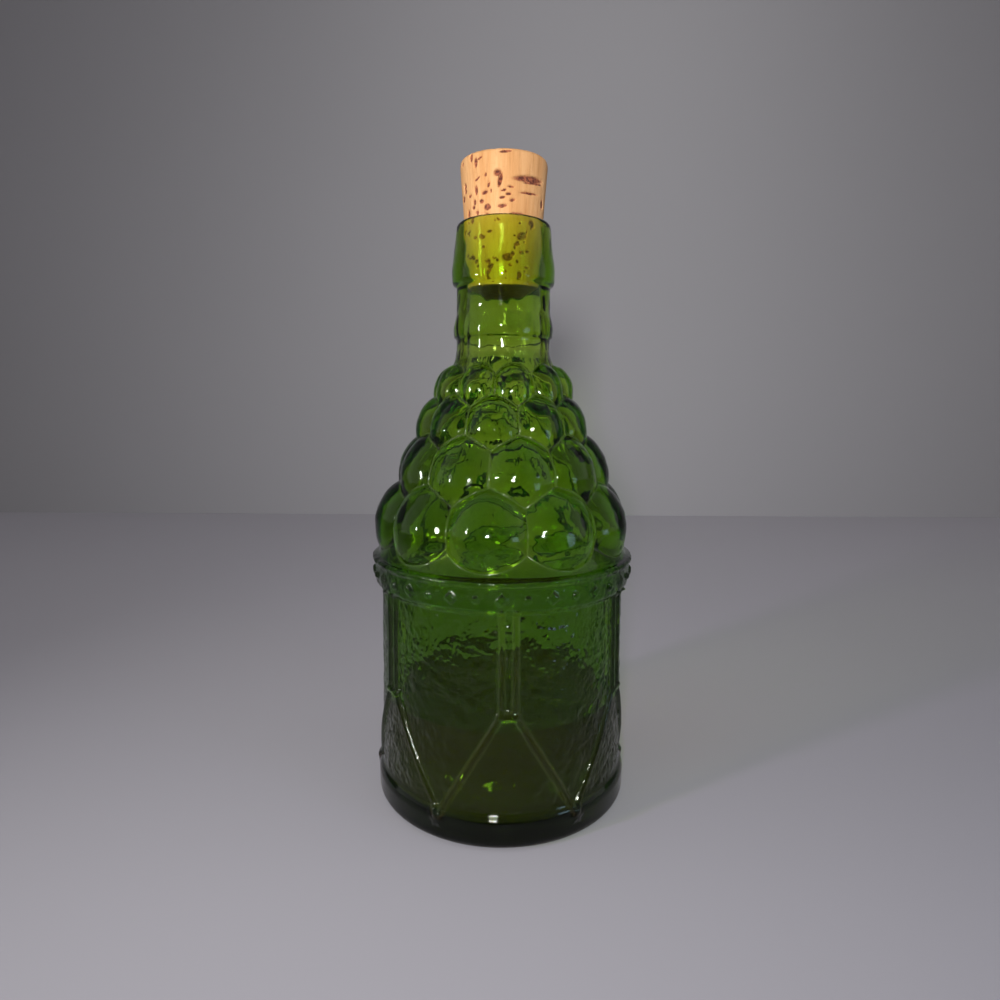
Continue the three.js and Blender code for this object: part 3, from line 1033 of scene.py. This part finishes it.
@dataclass
class TaperedCork:
    """The natural cork: a punched taper with pores, shallow flats and worn edges."""

    columns: int = 360
    bottom: float = 181.2
    top: float = 222.8
    radius_bottom: float = 11.86
    radius_top: float = 14.9
    edge: float = 0.7
    ring_step: float = 0.28
    softness: float = 0.25
    bottom_rings: int = 11
    top_rings: int = 39
    top_margin: float = 0.05
    growth: float = 0.12
    sunk: float = 0.8
    top_pores: int = 46
    top_pore_length: float = 2.4
    top_pore_depth: float = 0.45
    scattered: int = 260
    marked_angle: float = 80.0
    marked_above: float = 203.0
    seed: int = 11
    marks: tuple[Pore, ...] = (
        Pore(2.0, 221.7, 1.78, 0.40, 0.12, 0.6),
        Pore(-46.8, 221.2, 0.65, 1.18, 0.10, 0.6),
        Pore(-39.1, 219.3, 0.62, 1.30, -0.10, 0.7),
        Pore(-32.3, 220.4, 0.89, 0.34, 0.40, 0.5),
        Pore(-24.6, 215.2, 0.34, 0.56, -0.20, 0.6),
        Pore(-8.5, 215.5, 1.05, 0.85, 0.30, 1.3),
        Pore(-5.0, 213.4, 0.62, 1.90, -0.25, 1.4),
        Pore(-37.6, 214.4, 1.21, 0.37, 0.55, 0.5),
        Pore(-65.9, 213.4, 1.00, 0.93, 0.10, 0.7),
        Pore(-65.0, 211.8, 0.81, 0.56, 0.00, 0.6),
        Pore(-20.5, 212.1, 0.36, 0.87, -0.35, 0.5),
        Pore(-40.5, 211.0, 0.58, 1.30, -0.05, 0.6),
        Pore(-75.9, 210.0, 1.54, 0.80, 0.00, 0.5),
        Pore(-53.3, 209.9, 0.80, 0.46, 0.00, 0.5),
        Pore(-26.9, 209.9, 1.03, 0.56, 0.20, 0.6),
        Pore(-17.5, 210.2, 0.29, 0.56, 0.00, 0.5),
        Pore(9.1, 211.3, 0.97, 0.28, -0.10, 0.6),
        Pore(-0.4, 210.2, 0.85, 0.34, 0.25, 0.5),
        Pore(6.3, 209.1, 0.82, 0.40, 0.10, 0.5),
        Pore(-2.1, 208.0, 0.89, 0.40, 0.10, 0.5),
        Pore(11.7, 207.3, 0.91, 0.40, 0.20, 0.5),
        Pore(-32.2, 207.4, 0.77, 0.62, 0.00, 0.5),
        Pore(-44.0, 207.5, 0.57, 0.74, 0.00, 0.5),
        Pore(-47.1, 206.0, 0.65, 0.53, 0.00, 0.5),
        Pore(-2.2, 205.5, 1.30, 0.53, 0.10, 0.6),
        Pore(-22.9, 205.4, 1.11, 0.93, 0.20, 0.3),
        Pore(-59.1, 204.5, 0.73, 1.11, 0.00, 0.7),
        Pore(-40.1, 204.2, 0.58, 0.68, 0.20, 0.6),
        Pore(37.2, 214.3, 5.23, 0.85, 0.08, 0.8),
        Pore(44.3, 213.3, 3.81, 0.37, 0.10, 0.5),
        Pore(37.7, 210.0, 3.28, 0.34, 0.06, 0.6),
        Pore(66.6, 207.9, 0.86, 1.49, 0.15, 0.4),
        Pore(19.2, 203.4, 2.17, 0.28, 0.05, 0.5),
        Pore(-68.4, 220.6, 0.74, 0.56, 0.00, 0.4),
    )

    def radius_at(self, height: float) -> float:
        """The taper's radius at a height."""
        share = (height - self.bottom) / (self.top - self.bottom)
        return self.radius_bottom + (self.radius_top - self.radius_bottom) * share

    def pores(self) -> list[Pore]:
        """Scatters small pores where the marks leave the cork free.

        Returns:
            The marks and the scattered pores.
        """
        random = np.random.default_rng(self.seed)
        pores = list(self.marks)
        while len(pores) < self.scattered + len(self.marks):
            angle = random.uniform(-180.0, 180.0)
            height = random.uniform(self.bottom + 1.0, self.top - 0.4)
            if abs(angle) < self.marked_angle and height > self.marked_above:
                continue
            size = random.uniform(0.22, 0.5) * (1.9 if random.random() < 0.16 else 1.0)
            half_across = size * random.uniform(0.9, 2.3)
            half_up = size * random.uniform(0.7, 1.6)
            slant, depth = random.uniform(-0.9, 0.9), random.uniform(0.25, 0.6)
            pores.append(Pore(angle, height, half_across, half_up, slant, depth))
        return pores

    def profile(self) -> np.ndarray:
        """The cork's outline from the middle of its bottom to the middle of its top.

        Returns:
            Radius and height pairs in millimetres.
        """
        corners = [
            (self.radius_bottom - 1.6, self.bottom),
            (self.radius_bottom - 0.2, self.bottom),
            (self.radius_bottom + 0.05, self.bottom + self.edge),
            (self.radius_top, self.top - 2.0),
            (self.radius_top - 0.1, self.top - self.edge),
            (self.radius_top - self.edge, self.top),
            (self.radius_top - 2.2, self.top),
        ]
        side = softened(corners, self.ring_step, self.softness)
        under = np.linspace(1.0, side[0, 0], self.bottom_rings + 1)[:-1]
        over = np.linspace(side[-1, 0], 0.6, self.top_rings + 1)[1:]
        low = np.stack([under, np.full_like(under, self.bottom)], axis=1)
        high = np.stack([over, np.full_like(over, self.top)], axis=1)
        return np.concatenate([low, side, high])

    def build(self, finish: bpy.types.Material) -> bpy.types.Object:
        """Builds the cork with its pores sunk into it.

        Args:
            finish: The cork's material.

        Returns:
            The cork, in place of its CAD solid.
        """
        angle = column_angles(self.columns)
        radius, height = spread_round(self.profile(), self.columns)
        on_side = np.clip((radius - (self.radius_bottom - 1.0)) / 0.6, 0.0, 1.0)
        on_side = on_side * (height < self.top - self.top_margin)
        pore = np.zeros_like(radius)
        sink = np.zeros_like(radius)
        for mark in self.pores():
            across = turn_from(angle, math.radians(mark.angle)) * self.radius_at(mark.height)
            up = height - mark.height
            turned = across + mark.slant * up
            share = (turned / mark.half_across) ** 2 + ((up - mark.slant * across) / mark.half_up) ** 2
            cover = np.clip(1.9 - share, 0.0, 1.0)
            pore = np.maximum(pore, cover)
            sink = np.maximum(sink, cover * mark.depth)
        ripple = np.sin(7 * angle + 0.05 * height) + 0.6 * np.sin(13 * angle + 1.7)
        ripple = ripple + 0.4 * np.sin(29 * angle)
        radius = radius - on_side * (self.sunk * sink + self.growth * (0.5 + 0.25 * ripple))
        pore, height = self.end_grain(pore, radius, height, angle)
        cork = turned_grid(ring_points(radius, height, angle), self.bottom, self.top, "punched_cork")
        store(cork, "pore", np.clip(pore, 0.0, 1.0))
        cork.data.materials.append(finish)
        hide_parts("cork")
        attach(cork, BODY)
        return cork

    def end_grain(
        self, pore: np.ndarray, radius: np.ndarray, height: np.ndarray, angle: np.ndarray
    ) -> tuple[np.ndarray, np.ndarray]:
        """Sinks pores into the cork's top, in rows as the bark's layers run.

        Args:
            pore: Cover of the side's pores at each point.
            radius: Radii of the points.
            height: Heights of the points.
            angle: Angles of the columns.

        Returns:
            The cover with the top's pores added, and the new heights.
        """
        random = np.random.default_rng(self.seed + 1)
        across, along = radius * np.sin(angle), -radius * np.cos(angle)
        on_top = height > self.top - self.top_margin
        cover = np.zeros_like(radius)
        for _ in range(self.top_pores):
            centre = random.uniform(-0.9, 0.9, 2) * self.radius_top
            size = random.uniform(0.25, 0.7)
            long_share = (across - centre[0]) / (self.top_pore_length * size)
            share = long_share**2 + ((along - centre[1]) / size) ** 2
            cover = np.maximum(cover, np.clip(1.3 - share, 0.0, 1.0))
        cover = cover * on_top
        return np.where(on_top, cover, pore), height - self.top_pore_depth * cover


# Studio


@dataclass(frozen=True)
class SoftLight:
    """A plain area light: place and aim in metres, sizes, power in watts and colour."""

    name: str
    place: Place
    aim: Place
    size: Pair
    power: float
    colour: str = "#ffffff"
    spread: float = 180.0

    def build(self) -> bpy.types.Object:
        """Adds the light to the scene.

        Returns:
            The light's object.
        """
        data = bpy.data.lights.new(self.name, "AREA")
        data.shape = "RECTANGLE"
        data.size, data.size_y = self.size
        data.energy = self.power
        data.color = linear(self.colour)[:3]
        data.spread = math.radians(self.spread)
        light = bpy.data.objects.new(self.name, data)
        light.location = self.place
        light.visible_camera = False
        direction = Vector(self.aim) - Vector(self.place)
        light.rotation_euler = direction.to_track_quat("-Z", "Y").to_euler()
        bpy.context.scene.collection.objects.link(light)
        return light


@dataclass
class Studio:
    """A pale floor, a plain wall behind, soft lights and the camera."""

    wall_distance: float = 0.60
    wall_height: float = 2.0
    reach: float = 3.0
    floor_colour: str = "#b0adb3"
    wall_colour: str = "#a7a5a7"
    zenith: float = 0.32
    horizon: float = 0.06
    rear_gain: float = 0.10
    rear_start: float = -0.4
    side_gain: float = 0.60
    surround_colour: str = "#f4f2f6"
    lens: float = 24.0
    sensor: float = 36.0
    clip_start: float = 0.01
    camera_place: Place = (0.0, -0.2406, 0.1427)
    camera_pitch: float = -8.36
    camera_roll: float = 0.27
    camera_pan: float = 0.2
    lights: tuple[SoftLight, ...] = (
        SoftLight("front_lamp", (-0.056, -0.545, 0.20), (0.0, 0.0, 0.14), (0.06, 0.06), 0.74, spread=80.0),
        SoftLight("left_lamp", (-0.408, -0.280, 0.195), (0.0, 0.0, 0.12), (0.035, 0.06), 0.20, spread=80.0),
        SoftLight("window_right", (0.404, -0.294, 0.10), (0.0, 0.0, 0.12), (0.12, 0.14), 0.24, "#b9d6ff"),
        SoftLight("wall_wash", (0.10, 0.05, 0.85), (0.12, 0.60, 0.45), (0.30, 0.10), 0.42, spread=110.0),
    )

    def board(self, name: str, corners: list[Place], finish: MatteBackdrop) -> bpy.types.Object:
        """Adds one flat board of the set.

        Args:
            name: The board's name.
            corners: Its corners in metres, in turn.
            finish: Its paint.

        Returns:
            The board.
        """
        mesh = bpy.data.meshes.new(name)
        mesh.from_pydata(corners, [], [tuple(range(len(corners)))])
        board = bpy.data.objects.new(name, mesh)
        bpy.context.scene.collection.objects.link(board)
        board.data.materials.append(finish.make())
        return board

    def build(self) -> None:
        """Builds the floor, wall, lights, world light and camera."""
        reach, back, high = self.reach, self.wall_distance, self.wall_height
        self.board(
            "studio_floor",
            [(-reach, -reach, 0), (reach, -reach, 0), (reach, back, 0), (-reach, back, 0)],
            MatteBackdrop("painted_floor_board", self.floor_colour),
        )
        self.board(
            "studio_wall",
            [(-reach, back, 0), (reach, back, 0), (reach, back, high), (-reach, back, high)],
            MatteBackdrop("painted_wall_board", self.wall_colour),
        )
        for light in self.lights:
            light.build()
        self.surround()
        self.camera()
        scene = bpy.context.scene
        scene.view_settings.view_transform = "Standard"
        scene.cycles.caustics_reflective = False
        scene.cycles.caustics_refractive = False
        scene.cycles.max_bounces = 10
        scene.cycles.transmission_bounces = 10
        scene.cycles.use_light_tree = False
        scene.cycles.diffuse_bounces = 2
        scene.cycles.transparent_max_bounces = 12
        scene.cycles.adaptive_threshold = 0.03

    def surround(self) -> None:
        """Adds the dim, soft light from all round, more of it from above, the sides and the rear."""
        world = bpy.data.worlds.new("soft_grey_surround")
        world.use_nodes = True
        tree = world.node_tree
        tree.nodes.clear()
        way = add_node(tree, "ShaderNodeTexCoord").outputs["Generated"]
        parts = add_node(tree, "ShaderNodeSeparateXYZ", {"Vector": way}).outputs
        rise = {"Value": parts["Z"], "To Min": self.horizon, "To Max": self.zenith}
        upward = add_node(tree, "ShaderNodeMapRange", rise).outputs["Result"]
        rear = {"Value": parts["Y"], "From Min": self.rear_start, "To Min": 0.0, "To Max": self.rear_gain}
        forward = add_node(tree, "ShaderNodeMapRange", rear).outputs["Result"]
        ahead = add_node(tree, "ShaderNodeMath", {0: upward, 1: forward}, operation="ADD")
        squared = add_node(tree, "ShaderNodeMath", {0: parts["X"], 1: parts["X"]}, operation="MULTIPLY")
        sides = {0: squared.outputs[0], 1: self.side_gain, 2: ahead.outputs[0]}
        lit = add_node(tree, "ShaderNodeMath", sides, operation="MULTIPLY_ADD")
        glowing = {"Color": linear(self.surround_colour), "Strength": lit.outputs[0]}
        glow = add_node(tree, "ShaderNodeBackground", glowing)
        add_node(tree, "ShaderNodeOutputWorld", {"Surface": glow.outputs[0]})
        bpy.context.scene.world = world

    def camera(self) -> None:
        """Adds the camera at the fitted place, with its pitch, small pan and roll."""
        data = bpy.data.cameras.new("studio_camera")
        data.lens = self.lens
        data.sensor_width = self.sensor
        data.clip_start = self.clip_start
        camera = bpy.data.objects.new("studio_camera", data)
        turn = Matrix.Rotation(math.radians(self.camera_pan), 4, "Z")
        tilt = Matrix.Rotation(math.radians(90.0 + self.camera_pitch), 4, "X")
        roll = Matrix.Rotation(math.radians(self.camera_roll), 4, "Z")
        camera.matrix_world = Matrix.Translation(self.camera_place) @ turn @ tilt @ roll
        bpy.context.scene.collection.objects.link(camera)
        bpy.context.scene.camera = camera


def report(piece: bpy.types.Object) -> None:
    """Logs a finished piece with its number of faces."""
    LOG.info("%s: %d faces", piece.name, len(piece.data.polygons))


def main() -> None:
    """Builds the bottle, its contents, its cork and the studio in order."""
    logging.basicConfig(level=logging.INFO, format="%(name)s: %(message)s")
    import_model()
    Studio().build()
    bottle = GlassBottle()
    report(bottle.build(PressedGreenGlass().make()))
    report(BittersFill().build(bottle.inner_rows, BittersLiquid().make()))
    report(TaperedCork().build(PunchedCork().make()))


if __name__ == "__main__":
    main()
